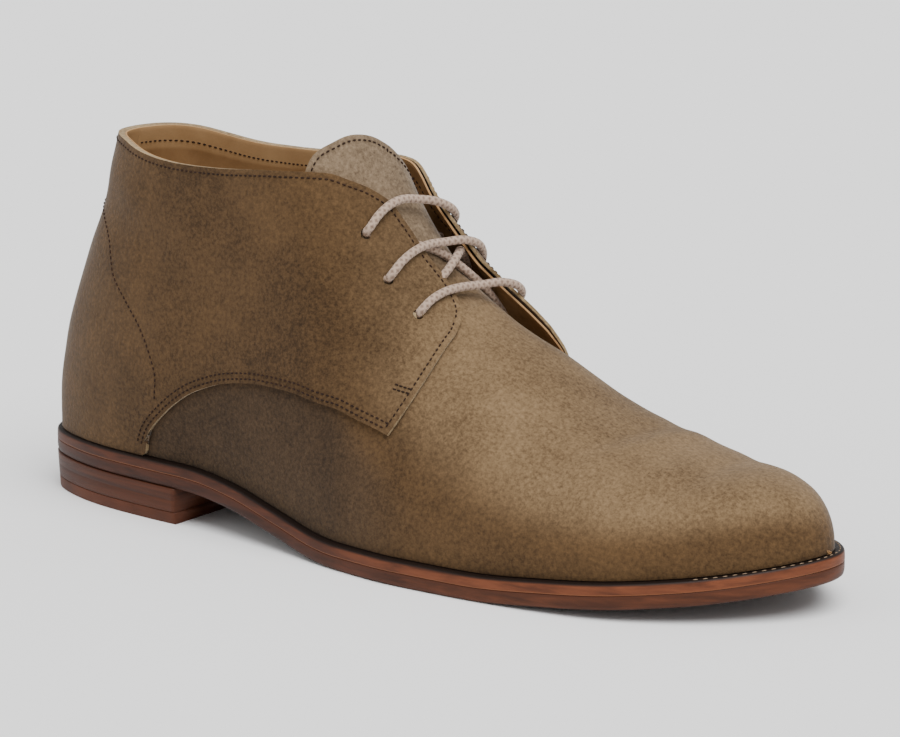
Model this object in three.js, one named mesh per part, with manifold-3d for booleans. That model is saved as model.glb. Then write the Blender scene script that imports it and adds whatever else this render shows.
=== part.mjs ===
// Chukka boot, right shoe, in millimetres.
// +X runs from heel to toe, -Y is the outer (lateral) side, +Z is up, the floor is Z = 0.
import * as THREE from 'three';
import { mergeVertices } from 'three/addons/utils/BufferGeometryUtils.js';
import Module from 'manifold-3d';

const wasm = await Module();
wasm.setup();

// Driving sizes of the sole
const soleLength = 305;
const ballWidth = 103.4;
const heelHeight = 12.7;
const heelLength = 74;
const heelTaper = 1.6;
const heelTipThickness = 4;
const toeSpring = 11;
const outsoleThickness = 4.6;
const weltThickness = 3.4;
const weltMargin = 3.2;

// Driving sizes of the upper
const legHeight = 178;
const legLean = 27;
const leanHeight = 103;
const instepHeight = 105.5;
const collarHeight = 123.5;
const quarterWall = 1.5;
const vampWall = 1.5;
const sideSwell = 2.2;

// Driving sizes of the insole, the eyelets and the lace
const insoleThickness = 2;
const insoleBevel = 0.9;
const eyeletDiameter = 3;
const laceDiameter = 2.8;

// Named clearances
const seatGap = 0.3;
const tongueGap = 0.4;
const laceGap = 1;
const insoleGap = 0.5;

// Fineness of the faceted solids
const stationCount = 34;
const roundCount = 24;
const edgeSteps = 3;
const laceSides = 8;
const innerDrop = 4;

// Smooth curve through the rows of a table, without overshoot between two rows
function curve(knots, values) {
  const last = knots.length - 1;
  const rise = knots.slice(1).map((k, i) => (values[i + 1] - values[i]) / (k - knots[i]));
  const slope = knots.map((k, i) => {
    if (i === 0) return rise[0];
    if (i === last) return rise[last - 1];
    if (rise[i - 1] * rise[i] <= 0) return 0;
    const before = k - knots[i - 1];
    const after = knots[i + 1] - k;
    const mean = (rise[i - 1] * after + rise[i] * before) / (before + after);
    const limit = 3 * Math.min(Math.abs(rise[i - 1]), Math.abs(rise[i]));
    return Math.sign(mean) * Math.min(Math.abs(mean), limit);
  });
  return (at) => {
    const x = Math.min(Math.max(at, knots[0]), knots[last]);
    let i = 0;
    while (i < last - 1 && x > knots[i + 1]) i += 1;
    const span = knots[i + 1] - knots[i];
    const f = (x - knots[i]) / span;
    const f2 = f * f;
    const f3 = f2 * f;
    return values[i] * (2 * f3 - 3 * f2 + 1) + values[i + 1] * (3 * f2 - 2 * f3)
      + span * (slope[i] * (f3 - 2 * f2 + f) + slope[i + 1] * (f3 - f2));
  };
}

// Share of the length turned into an angle share, so that heel and toe come out round
const roundShare = (share) => Math.acos(1 - 2 * Math.min(Math.max(share, 0), 1)) / Math.PI;
const stationShare = (i, count) => (1 - Math.cos(Math.PI * i / count)) / 2;

const column = (rows, name, knot = 'share') => curve(
  rows.map((row) => roundShare(row[knot])),
  rows.map((row) => row[name]),
);

// Outline of the sole: half widths as shares of the ball width
const outlineRows = [
  { share: 0, lateral: 0.015, medial: -0.015 },
  { share: 0.006, lateral: 0.116, medial: 0.100 },
  { share: 0.025, lateral: 0.190, medial: 0.190 },
  { share: 0.06, lateral: 0.250, medial: 0.262 },
  { share: 0.12, lateral: 0.306, medial: 0.310 },
  { share: 0.20, lateral: 0.338, medial: 0.312 },
  { share: 0.30, lateral: 0.359, medial: 0.288 },
  { share: 0.40, lateral: 0.405, medial: 0.290 },
  { share: 0.50, lateral: 0.467, medial: 0.365 },
  { share: 0.58, lateral: 0.495, medial: 0.432 },
  { share: 0.66, lateral: 0.492, medial: 0.494 },
  { share: 0.74, lateral: 0.475, medial: 0.503 },
  { share: 0.82, lateral: 0.432, medial: 0.455 },
  { share: 0.89, lateral: 0.335, medial: 0.388 },
  { share: 0.95, lateral: 0.207, medial: 0.268 },
  { share: 0.985, lateral: 0.096, medial: 0.152 },
  { share: 1, lateral: -0.034, medial: 0.034 },
];
const outline = { lateral: column(outlineRows, 'lateral'), medial: column(outlineRows, 'medial') };

// Underside of the outsole: the shank as a share of the heel height, the toe as one of its spring
const shankRows = [
  { share: 0, rise: 1.01 }, { share: 0.12, rise: 1 }, { share: 0.25, rise: 0.975 },
  { share: 0.33, rise: 0.75 }, { share: 0.40, rise: 0.36 }, { share: 0.46, rise: 0.06 },
  { share: 0.50, rise: 0 }, { share: 1, rise: 0 },
];
const springRows = [
  { share: 0, rise: 0 }, { share: 0.66, rise: 0 }, { share: 0.76, rise: 0.17 },
  { share: 0.84, rise: 0.36 }, { share: 0.92, rise: 0.61 }, { share: 1, rise: 1 },
];
const shank = curve(shankRows.map((row) => row.share), shankRows.map((row) => row.rise));
const spring = curve(springRows.map((row) => row.share), springRows.map((row) => row.rise));
const underside = (x) => heelHeight * shank(x / soleLength) + toeSpring * spring(x / soleLength);
const weltTop = (x) => underside(x) + outsoleThickness + seatGap + weltThickness;

// Point of the sole's outline, moved inwards by an inset
function outlinePoint(share, side, inset) {
  const half = side < 0 ? outline.lateral : outline.medial;
  const at = (u) => new THREE.Vector2(
    soleLength * (1 - Math.cos(Math.PI * u)) / 2,
    side * ballWidth * half(u),
  );
  const u = roundShare(share);
  const step = 0.002;
  const ahead = at(Math.min(u + step, 1));
  const behind = at(Math.max(u - step, 0));
  const inward = new THREE.Vector2(ahead.y - behind.y, behind.x - ahead.x).normalize();
  const turnedIn = side < 0 ? inward.negate() : inward;
  return at(u).addScaledVector(turnedIn, inset);
}

// Sections of the upper. Crown is its height above the welt, as a share of the leg's height behind
// the instep and of the instep's height ahead of it. Ridge is the sideways place of the crown, as a
// share of the ball width. Side and top say how full the section is: 2 is an ellipse. Swell is the
// share of the side's swell above the welt.
const sectionRows = [
  { share: 0, leg: 1, foot: 0, ridge: 0.005, side: 2, top: 2, swell: 0 },
  { share: 0.10, leg: 1, foot: 0, ridge: 0.005, side: 2, top: 2, swell: 0.35 },
  { share: 0.22, leg: 1, foot: 0, ridge: 0.005, side: 2, top: 2, swell: 1 },
  { share: 0.34, leg: 0.933, foot: 0, ridge: 0.005, side: 2, top: 2, swell: 0.9 },
  { share: 0.42, leg: 0.758, foot: 0, ridge: 0.015, side: 2, top: 2, swell: 0.7 },
  { share: 0.47, leg: 0, foot: 1, ridge: 0.030, side: 1.9, top: 2, swell: 0.5 },
  { share: 0.52, leg: 0, foot: 0.787, ridge: 0.058, side: 1.8, top: 2, swell: 0.5 },
  { share: 0.57, leg: 0, foot: 0.659, ridge: 0.082, side: 1.8, top: 2, swell: 0.5 },
  { share: 0.64, leg: 0, foot: 0.545, ridge: 0.097, side: 1.9, top: 2, swell: 0.5 },
  { share: 0.72, leg: 0, foot: 0.408, ridge: 0.092, side: 2, top: 2.1, swell: 0.7 },
  { share: 0.80, leg: 0, foot: 0.324, ridge: 0.077, side: 2.1, top: 2.2, swell: 0.7 },
  { share: 0.87, leg: 0, foot: 0.265, ridge: 0.063, side: 2.2, top: 2.3, swell: 0.5 },
  { share: 0.92, leg: 0, foot: 0.238, ridge: 0.048, side: 2.2, top: 2.3, swell: 0.25 },
  { share: 0.96, leg: 0, foot: 0.195, ridge: 0.037, side: 2.2, top: 2.2, swell: 0.1 },
  { share: 1, leg: 0, foot: 0, ridge: 0.024, side: 2, top: 2, swell: 0 },
];
const crownKnots = sectionRows.map((row) => roundShare(row.share));
const crownHeight = curve(crownKnots, sectionRows.map((row) => legHeight * row.leg + instepHeight * row.foot));
const section = {
  ridge: column(sectionRows, 'ridge'),
  side: column(sectionRows, 'side'),
  top: column(sectionRows, 'top'),
  swell: column(sectionRows, 'swell'),
};

// Lean of the back line: share of the lean against share of the lean's height
const leanRows = [
  { height: 0, lean: 0 }, { height: 0.155, lean: 0.02 }, { height: 0.25, lean: 0.08 },
  { height: 0.37, lean: 0.19 }, { height: 0.456, lean: 0.31 }, { height: 0.553, lean: 0.444 },
  { height: 0.64, lean: 0.574 }, { height: 0.757, lean: 0.777 }, { height: 0.854, lean: 0.888 },
  { height: 1, lean: 1.018 }, { height: 1.553, lean: 1.4 },
];
const leanAt = curve(leanRows.map((row) => row.height), leanRows.map((row) => row.lean));
const leanEnd = 0.47;
const leanPower = 1.5;
const swellHeight = 60;

// Point of the last. Share runs from heel to toe; round runs from -1 at the outer edge of the
// bottom, over 0 at the crown, to 1 at the inner edge.
function lastPoint(share, round) {
  const side = round < 0 ? -1 : 1;
  const u = roundShare(share);
  const foot = outlinePoint(share, side, weltMargin);
  const angle = (1 - Math.abs(round)) * Math.PI / 2;
  const up = Math.sin(angle) ** (2 / section.side(u));
  const out = Math.max(Math.cos(angle), 0) ** (2 / section.top(u));
  const crown = crownHeight(u);
  const above = crown * up;
  const middle = weltMargin + (soleLength - 2 * weltMargin) * share;
  const lean = legLean * leanAt(above / leanHeight) * Math.max(1 - share / leanEnd, 0) ** leanPower;
  const fade = Math.min(out * 3, 1) * Math.min(Math.abs(foot.y) / 20, 1);
  const swell = sideSwell * section.swell(u) * Math.sin(Math.PI * Math.min(above / swellHeight, 1)) * fade;
  return new THREE.Vector3(
    middle + (foot.x - middle) * out + lean,
    foot.y * out + ballWidth * section.ridge(u) * (1 - out) + side * swell,
    weltTop(foot.x) + seatGap + above,
  );
}

// Outward direction of the last, worked out from its neighbours on the surface
function lastNormal(share, round) {
  const step = 0.0005;
  const shareAhead = lastPoint(Math.min(share + step, 1 - step / 100), round);
  const shareBehind = lastPoint(Math.max(share - step, step / 100), round);
  const roundAhead = lastPoint(share, Math.min(round + step, 1));
  const roundBehind = lastPoint(share, Math.max(round - step, -1));
  const along = shareAhead.sub(shareBehind);
  const across = roundAhead.sub(roundBehind);
  return along.cross(across).normalize();
}

// Closed solid lofted through rings of equal count, both end rings zipped shut side to side
function loft(rings) {
  const count = rings[0].length;
  const points = rings.flat();
  const faces = [];
  for (let i = 0; i < rings.length - 1; i += 1) {
    for (let j = 0; j < count; j += 1) {
      const a = i * count + j;
      const b = i * count + (j + 1) % count;
      faces.push([a, b, b + count], [a, b + count, a + count]);
    }
  }
  for (const [ring, flip] of [[0, false], [rings.length - 1, true]]) {
    const start = ring * count;
    for (let j = 0; j < Math.floor((count - 1) / 2); j += 1) {
      const near = [start + j, start + j + 1];
      const far = [start + count - 2 - j, start + count - 1 - j];
      const strip = near[1] === far[0]
        ? [[near[0], near[1], far[1]]]
        : [[near[0], near[1], far[0]], [near[0], far[0], far[1]]];
      faces.push(...strip.map(([p, q, r]) => (flip ? [p, q, r] : [p, r, q])));
    }
  }
  const volume = faces.reduce((sum, [a, b, c]) => {
    const turned = new THREE.Vector3().crossVectors(points[b], points[c]);
    return sum + points[a].dot(turned);
  }, 0);
  const ordered = volume > 0 ? faces : faces.map(([a, b, c]) => [a, c, b]);
  const geometry = new THREE.BufferGeometry();
  geometry.setAttribute('position', new THREE.Float32BufferAttribute(points.flatMap((p) => p.toArray()), 3));
  geometry.setIndex(ordered.flat());
  return geometry;
}

// Solids for joining and cutting
function solid(geometry) {
  const bare = geometry.clone();
  bare.deleteAttribute('normal');
  bare.deleteAttribute('uv');
  const merged = mergeVertices(bare, 1e-4);
  const mesh = new wasm.Mesh({
    numProp: 3,
    vertProperties: Float32Array.from(merged.attributes.position.array),
    triVerts: Uint32Array.from(merged.index.array),
  });
  mesh.merge();
  return new wasm.Manifold(mesh);
}

function geometryOf(body) {
  const mesh = body.getMesh();
  const geometry = new THREE.BufferGeometry();
  geometry.setAttribute('position', new THREE.Float32BufferAttribute(mesh.vertProperties, 3));
  geometry.setIndex(Array.from(mesh.triVerts));
  return geometry;
}

// The last grown or shrunk by an offset, its bottom lowered by a drop
function lastSolid(offset, drop = 0) {
  const rings = [];
  for (let i = 0; i <= stationCount; i += 1) {
    const share = Math.min(Math.max(stationShare(i, stationCount), 0.0002), 0.9998);
    const ring = [];
    for (let j = 0; j <= roundCount; j += 1) {
      const round = -1 + 2 * j / roundCount;
      const point = lastPoint(share, round);
      const normal = lastNormal(share, round);
      if (Math.abs(round) === 1) normal.setZ(0).normalize();
      const moved = point.clone().addScaledVector(normal, offset);
      if (Math.abs(round) === 1) moved.z = point.z;
      ring.push(moved);
    }
    if (drop > 0) {
      const lower = (p) => new THREE.Vector3(p.x, p.y, p.z - drop);
      ring.push(lower(ring[roundCount]));
      ring.unshift(lower(ring[0]));
    }
    rings.push(ring);
  }
  return solid(loft(rings));
}

// Prism through the boot from side to side, from an outline in X and Z
function sidePrism(shape, from, to) {
  const geometry = new THREE.ExtrudeGeometry(shape, { depth: to - from, bevelEnabled: false, curveSegments: 5 });
  geometry.rotateX(Math.PI / 2);
  geometry.translate(0, to, 0);
  return solid(geometry);
}

// Prism through the throat, from an outline in Y and in distance down the slope of the instep
const throatTop = new THREE.Vector3(143, 0, 115);
const throatAngle = THREE.MathUtils.degToRad(50.7);
const prismReach = 60;
function throatPrism(shape) {
  const geometry = new THREE.ExtrudeGeometry(shape, { depth: 2 * prismReach, bevelEnabled: false, curveSegments: 5 });
  const across = new THREE.Vector3(0, 1, 0);
  const down = new THREE.Vector3(Math.cos(throatAngle), 0, -Math.sin(throatAngle));
  const inward = new THREE.Vector3().crossVectors(across, down);
  const place = new THREE.Matrix4().makeBasis(across, down, inward);
  place.setPosition(throatTop.clone().addScaledVector(inward, -prismReach));
  geometry.applyMatrix4(place);
  return solid(geometry);
}

const shapeThrough = (parts) => {
  const shape = new THREE.Shape();
  parts.forEach(({ points, smooth }, i) => {
    const list = points.map(([a, b]) => new THREE.Vector2(a, b));
    if (i === 0) shape.moveTo(list[0].x, list[0].y);
    else shape.lineTo(list[0].x, list[0].y);
    if (smooth) shape.splineThru(list.slice(1));
    else list.slice(1).forEach((p) => shape.lineTo(p.x, p.y));
  });
  shape.closePath();
  return shape;
};

// Slab with the sole's outline between two heights that are functions of X
function soleSlab({ low, high, lowInset = 0, highInset = 0, endShare = 1 }) {
  const rings = [];
  for (let i = 0; i <= stationCount; i += 1) {
    const share = Math.min(Math.max(stationShare(i, stationCount) * endShare, 0.0002), 0.9998);
    const row = (height, inset) => Array.from({ length: edgeSteps + 1 }, (_, k) => {
      const lateral = outlinePoint(share, -1, inset);
      const point = lateral.lerp(outlinePoint(share, 1, inset), k / edgeSteps);
      return new THREE.Vector3(point.x, point.y, height(point.x));
    });
    rings.push([...row(low, lowInset), ...row(high, highInset).reverse()]);
  }
  return solid(loft(rings));
}

// Sole: outsole, welt, heel stack and the heel's lowest layer
const heelEnd = heelLength / soleLength;
const heelInsetAt = (height) => heelTaper * (1 - height / heelHeight);
const outsole = soleSlab({ low: underside, high: (x) => underside(x) + outsoleThickness });
const welt = soleSlab({ low: (x) => underside(x) + outsoleThickness + seatGap, high: weltTop });
const heelStack = soleSlab({
  low: () => heelTipThickness + seatGap,
  high: (x) => underside(x) - seatGap,
  lowInset: heelInsetAt(heelTipThickness + seatGap),
  highInset: heelInsetAt(heelHeight),
  endShare: heelEnd,
});
const heelTip = soleSlab({
  low: () => 0,
  high: () => heelTipThickness,
  lowInset: heelInsetAt(0),
  highInset: heelInsetAt(heelTipThickness),
  endShare: heelEnd,
});

// Insole: it lies on the welt, inside the foot of the upper
const insoleInset = weltMargin + vampWall + insoleGap;
const insole = soleSlab({
  low: (x) => weltTop(x) + seatGap,
  high: (x) => weltTop(x) + seatGap + insoleThickness,
  lowInset: insoleInset,
  highInset: insoleInset + insoleBevel,
});

// Collar line: length as a share of the sole, height as a share of the collar height
const collarRows = [
  { along: -0.05, height: 1.045 }, { along: 0.06, height: 1.04 }, { along: 0.134, height: 1.022 },
  { along: 0.163, height: 1.005 }, { along: 0.245, height: 0.985 }, { along: 0.30, height: 0.988 },
  { along: 0.357, height: 0.998 }, { along: 0.41, height: 1.002 }, { along: 0.433, height: 0.995 },
  { along: 0.452, height: 0.972 }, { along: 0.466, height: 0.935 }, { along: 0.475, height: 0.89 },
];

// Edges of the quarters: share of the sole's length, of the ball width sideways, of the collar height
const facingRows = {
  lateral: [
    { along: 0.446, out: -0.140, height: 1.093 }, { along: 0.462, out: -0.115, height: 0.980 },
    { along: 0.472, out: -0.098, height: 0.931 }, { along: 0.487, out: -0.072, height: 0.874 },
    { along: 0.511, out: -0.047, height: 0.785 }, { along: 0.531, out: -0.028, height: 0.726 },
    { along: 0.549, out: -0.034, height: 0.679 }, { along: 0.559, out: -0.051, height: 0.654 },
    { along: 0.566, out: -0.083, height: 0.632 }, { along: 0.570, out: -0.135, height: 0.603 },
    { along: 0.570, out: -0.203, height: 0.564 }, { along: 0.569, out: -0.261, height: 0.526 },
    { along: 0.564, out: -0.333, height: 0.464 }, { along: 0.554, out: -0.390, height: 0.399 },
    { along: 0.549, out: -0.406, height: 0.374 },
  ],
  medial: [
    { along: 0.430, out: 0.164, height: 1.109 }, { along: 0.456, out: 0.130, height: 0.980 },
    { along: 0.464, out: 0.126, height: 0.931 }, { along: 0.482, out: 0.121, height: 0.874 },
    { along: 0.502, out: 0.118, height: 0.815 }, { along: 0.530, out: 0.145, height: 0.745 },
    { along: 0.551, out: 0.189, height: 0.668 }, { along: 0.574, out: 0.227, height: 0.607 },
    { along: 0.597, out: 0.261, height: 0.559 }, { along: 0.610, out: 0.300, height: 0.510 },
    { along: 0.613, out: 0.348, height: 0.453 }, { along: 0.607, out: 0.397, height: 0.405 },
    { along: 0.597, out: 0.426, height: 0.364 }, { along: 0.592, out: 0.435, height: 0.347 },
  ],
};
const seamRows = {
  lateral: [
    { along: 0.541, out: -0.399, height: 0.375 }, { along: 0.490, out: -0.401, height: 0.412 },
    { along: 0.436, out: -0.400, height: 0.436 }, { along: 0.361, out: -0.380, height: 0.444 },
    { along: 0.298, out: -0.366, height: 0.415 }, { along: 0.259, out: -0.360, height: 0.372 },
    { along: 0.226, out: -0.352, height: 0.309 }, { along: 0.202, out: -0.340, height: 0.246 },
    { along: 0.190, out: -0.329, height: 0.180 }, { along: 0.186, out: -0.327, height: 0.040 },
  ],
  medial: [
    { along: 0.582, out: 0.433, height: 0.348 }, { along: 0.525, out: 0.411, height: 0.385 },
    { along: 0.475, out: 0.387, height: 0.417 }, { along: 0.410, out: 0.353, height: 0.441 },
    { along: 0.361, out: 0.329, height: 0.445 }, { along: 0.298, out: 0.309, height: 0.417 },
    { along: 0.259, out: 0.309, height: 0.372 }, { along: 0.226, out: 0.309, height: 0.308 },
    { along: 0.202, out: 0.309, height: 0.246 }, { along: 0.190, out: 0.305, height: 0.180 },
    { along: 0.186, out: 0.300, height: 0.040 },
  ],
};
const facingLength = 50;

// Outline of the tongue seen along the slope, from its lower outer corner round to the inner one
const tongueFoot = 0.88;
const tongueRows = [
  { down: tongueFoot, out: -0.24 }, { down: 0.4, out: -0.24 }, { down: 0, out: -0.24 },
  { down: -0.36, out: -0.25 }, { down: -0.44, out: -0.225 }, { down: -0.455, out: -0.17 },
  { down: -0.44, out: -0.10 }, { down: -0.39, out: -0.035 }, { down: -0.31, out: 0.025 },
  { down: -0.20, out: 0.085 }, { down: -0.04, out: 0.15 }, { down: 0.2, out: 0.215 },
  { down: 0.5, out: 0.235 }, { down: tongueFoot, out: 0.235 },
];

const sideView = (row) => [row.along * soleLength, row.height * collarHeight];
const slopeView = (row) => [row.out * ballWidth, row.down * facingLength];
const beyond = 2 * collarHeight;

function collarPrism() {
  const first = sideView(collarRows[0]);
  const last = sideView(collarRows[collarRows.length - 1]);
  const shape = shapeThrough([
    { points: [[first[0], beyond], first] },
    { points: collarRows.map(sideView), smooth: true },
    { points: [last, [last[0], beyond]] },
  ]);
  return sidePrism(shape, -ballWidth, ballWidth);
}

// Prism of one quarter, looked at from its own side and half from above
const quarterTilt = Math.PI / 4;
function quarterPrism(name, side) {
  const up = new THREE.Vector3(0, -side * Math.sin(quarterTilt), Math.cos(quarterTilt));
  const across = new THREE.Vector3(1, 0, 0);
  const onView = (row) => {
    const place = new THREE.Vector3(row.along * soleLength, row.out * ballWidth, row.height * collarHeight);
    return [place.x, place.dot(up)];
  };
  const facing = facingRows[name].map(onView);
  const seam = seamRows[name].map(onView);
  const shape = shapeThrough([
    { points: facing, smooth: true },
    { points: seam, smooth: true },
    { points: [[seam[seam.length - 1][0], -beyond], [-beyond, -beyond], [-beyond, beyond], [facing[0][0], beyond]] },
  ]);
  const depth = 4 * ballWidth;
  const geometry = new THREE.ExtrudeGeometry(shape, { depth, bevelEnabled: false, curveSegments: 3 });
  const outwards = new THREE.Vector3().crossVectors(across, up);
  const place = new THREE.Matrix4().makeBasis(across, up, outwards);
  place.setPosition(outwards.clone().multiplyScalar(-depth / 2));
  geometry.applyMatrix4(place);
  const half = new THREE.BoxGeometry(2 * soleLength, beyond, 2 * beyond);
  half.translate(0, side * beyond / 2, 0);
  return solid(geometry).intersect(solid(half));
}

function tonguePrism(grow) {
  const middle = (tongueRows[4].out + tongueRows[11].out) / 2 * ballWidth;
  const rows = tongueRows.map((row) => {
    const [y, down] = slopeView(row);
    const outward = Math.sign(y - middle) * grow;
    return [y + outward, row.down === tongueFoot ? down + grow : down - grow * 2];
  });
  return throatPrism(shapeThrough([{ points: rows, smooth: false }]));
}

// Upper: vamp and lining in one wall, the quarters as a second layer over it, loose at the throat
const vampOuter = lastSolid(0);
const quarterOuter = lastSolid(quarterWall);
const flapInner = lastSolid(tongueGap);
const hollow = lastSolid(-vampWall, innerDrop);
const quarterShell = quarterOuter.subtract(hollow);
const quarters = quarterShell.intersect(quarterPrism('lateral', -1).add(quarterPrism('medial', 1)));

// Eyelets: share along the last and round place of each pair
const eyeletRows = [
  { lateralShare: 0.464, lateral: -0.322, medialShare: 0.468, medial: 0.37 },
  { lateralShare: 0.494, lateral: -0.313, medialShare: 0.502, medial: 0.38 },
  { lateralShare: 0.530, lateral: -0.293, medialShare: 0.540, medial: 0.39 },
];

function eyeletHole(share, round) {
  const normal = lastNormal(share, round);
  const depth = 6 * quarterWall;
  const geometry = new THREE.CylinderGeometry(eyeletDiameter / 2, eyeletDiameter / 2, depth, 12);
  const place = new THREE.Matrix4().makeRotationFromQuaternion(
    new THREE.Quaternion().setFromUnitVectors(new THREE.Vector3(0, 1, 0), normal),
  );
  place.setPosition(lastPoint(share, round).addScaledVector(normal, depth / 2 + tongueGap / 2));
  return solid(geometry.applyMatrix4(place));
}

const tongueClearance = 0.8;
const tongueSpace = flapInner.intersect(tonguePrism(tongueClearance));
const openings = [collarPrism(), tongueSpace, ...eyeletRows.flatMap((row) => [
  eyeletHole(row.lateralShare, row.lateral), eyeletHole(row.medialShare, row.medial),
])];
const upper = openings.reduce((body, cut) => body.subtract(cut), vampOuter.subtract(hollow).add(quarters));
const tongue = vampOuter.subtract(hollow).intersect(tonguePrism(0));

// Lace: a bar over each pair of eyelets, and the crossing that shows between the lower two pairs
const laceLift = quarterWall + laceGap + laceDiameter / 2;
const crossingLift = laceGap + laceDiameter / 2;
const laceSteps = 14;

function laceAlong(from, to, lift) {
  const points = Array.from({ length: laceSteps + 1 }, (_, k) => {
    const share = THREE.MathUtils.lerp(from[0], to[0], k / laceSteps);
    const round = THREE.MathUtils.lerp(from[1], to[1], k / laceSteps);
    return lastPoint(share, round).addScaledVector(lastNormal(share, round), lift);
  });
  const circle = new THREE.Shape(Array.from({ length: laceSides }, (_, k) => {
    const angle = 2 * Math.PI * k / laceSides;
    return new THREE.Vector2(Math.cos(angle), Math.sin(angle)).multiplyScalar(laceDiameter / 2);
  }));
  const extrudePath = new THREE.CatmullRomCurve3(points);
  return solid(new THREE.ExtrudeGeometry(circle, { steps: laceSteps, extrudePath }));
}

const laceBars = eyeletRows.map((row) => laceAlong(
  [row.lateralShare, row.lateral], [row.medialShare, row.medial], laceLift,
));
const crossingRows = [
  { from: [0.523, -0.035], to: [0.510, 0.07] },
  { from: [0.508, -0.03], to: [0.526, 0.08] },
];
const laceCrossing = crossingRows.map((row) => laceAlong(row.from, row.to, crossingLift))
  .reduce((body, strand) => body.add(strand));

// Colours and finishes
const finishes = {
  suede: { color: 0x86704c, roughness: 0.95, metalness: 0 },
  tongueSuede: { color: 0x93805f, roughness: 0.95, metalness: 0 },
  soleLeather: { color: 0x7a4226, roughness: 0.5, metalness: 0 },
  heelLeather: { color: 0x4e2e22, roughness: 0.5, metalness: 0 },
  heelRubber: { color: 0x6e4028, roughness: 0.6, metalness: 0 },
  lining: { color: 0xb08a5a, roughness: 0.7, metalness: 0 },
  cord: { color: 0x9c8373, roughness: 0.85, metalness: 0 },
};

// Assembly
const boot = new THREE.Group();
function piece(name, body, finish) {
  const mesh = new THREE.Mesh(geometryOf(body), new THREE.MeshStandardMaterial(finishes[finish]));
  mesh.name = name;
  boot.add(mesh);
}
piece('outsole', outsole, 'soleLeather');
piece('welt', welt, 'soleLeather');
piece('heel_stack', heelStack, 'heelLeather');
piece('heel_tip', heelTip, 'heelRubber');
piece('upper', upper, 'suede');
piece('tongue', tongue, 'tongueSuede');
piece('insole', insole, 'lining');
['top', 'middle', 'bottom'].forEach((place, i) => piece(`lace_bar_${place}`, laceBars[i], 'cord'));
piece('lace_crossing', laceCrossing, 'cord');

// Origin: the middle of the boot's box, on the floor
const box = new THREE.Box3().setFromObject(boot);
const middle = box.getCenter(new THREE.Vector3());
boot.position.set(-middle.x, -middle.y, -box.min.z);
export default boot;
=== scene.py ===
# %% [markdown]
# # A suede chukka boot
# A chukka boot is an ankle-high lace-up boot with a very short bill of parts: a vamp over the
# front of the foot, two quarters round the heel that meet over the instep, a tongue, a lining,
# and under them a welt, a leather outsole and a low stacked heel. All of it is pulled tight
# over one wooden form, the last. So this lesson writes the last down once, as a function of
# two numbers, and every panel of suede is a flat grid that is laid onto that function. Grids
# are easy to steer: their edges follow the pattern lines of the shoemaker exactly.

# %% The frame and the helpers of the lesson
import bisect
import functools
import math

import bmesh
import bpy
from mathutils import Matrix, Vector, noise


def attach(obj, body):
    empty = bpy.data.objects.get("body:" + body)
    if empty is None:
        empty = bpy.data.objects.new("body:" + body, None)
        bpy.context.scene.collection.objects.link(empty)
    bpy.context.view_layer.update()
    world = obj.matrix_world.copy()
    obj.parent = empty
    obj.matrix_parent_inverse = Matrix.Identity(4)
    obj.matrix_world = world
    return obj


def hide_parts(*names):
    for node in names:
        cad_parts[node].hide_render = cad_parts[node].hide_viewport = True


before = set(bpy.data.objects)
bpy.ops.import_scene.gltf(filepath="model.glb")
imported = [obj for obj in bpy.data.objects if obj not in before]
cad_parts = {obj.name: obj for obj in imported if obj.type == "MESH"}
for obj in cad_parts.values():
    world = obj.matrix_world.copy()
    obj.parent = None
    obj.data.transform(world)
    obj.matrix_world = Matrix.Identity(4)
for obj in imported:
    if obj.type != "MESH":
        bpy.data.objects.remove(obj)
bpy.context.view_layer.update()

MM = 0.001

# %% [markdown]
# ## The last
# The real last is turned from wood and holds the size of the boot. Here it is worked out from
# a few sizes in millimetres and from short tables of shares. A point on it has two numbers: a
# turn, from 0 at the middle of the heel to 1 at the tip of the toe, and a round, from -1 at the
# outer edge of the bottom over 0 at the crown to 1 at the inner edge. The turn goes round heel
# and toe at an even pace, as a compass does, so that grids stay even there.

# %% Driving sizes, in millimetres
sole_length = 305
ball_width = 103.4
heel_height = 12.7
heel_length = 74
heel_taper = 0.6
heel_tip_thickness = 4
toe_spring = 11
outsole_thickness = 4.6
welt_thickness = 3.4
welt_margin = 3.2
leg_height = 178
leg_lean = 27
lean_height = 103
instep_height = 105.5
collar_height = 123.5
side_swell = 2.2
quarter_wall = 1.5
vamp_wall = 1.5
seat_gap = 0.3
footbed_gap = 0.5
footbed_thickness = 2
lace_diameter = 2.8
hole_radius = 1.8


# %% Smooth curve through the rows of a table
def cubic(f, start, end, leaving, arriving):
    f2, f3 = f * f, f * f * f
    return (start * (2 * f3 - 3 * f2 + 1) + end * (3 * f2 - 2 * f3)
            + leaving * (f3 - 2 * f2 + f) + arriving * (f3 - f2))


def curve(knots, values):
    last = len(knots) - 1
    rise = [(values[i + 1] - values[i]) / (knots[i + 1] - knots[i]) for i in range(last)]
    slope = [rise[0]]
    for i in range(1, last):
        before = knots[i] - knots[i - 1]
        after = knots[i + 1] - knots[i]
        mean = (rise[i - 1] * after + rise[i] * before) / (before + after)
        limit = 3 * min(abs(rise[i - 1]), abs(rise[i]))
        same_way = rise[i - 1] * rise[i] > 0
        slope.append(math.copysign(min(abs(mean), limit), mean) if same_way else 0)
    slope.append(rise[-1])

    def at(knot):
        x = min(max(knot, knots[0]), knots[last])
        i = min(max(bisect.bisect_left(knots, x) - 1, 0), last - 1)
        span = knots[i + 1] - knots[i]
        f = (x - knots[i]) / span
        return cubic(f, values[i], values[i + 1], span * slope[i], span * slope[i + 1])

    return at


def turn_of(share):
    return math.acos(1 - 2 * min(max(share, 0), 1)) / math.pi


def share_of(turn):
    return (1 - math.cos(math.pi * turn)) / 2


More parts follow.
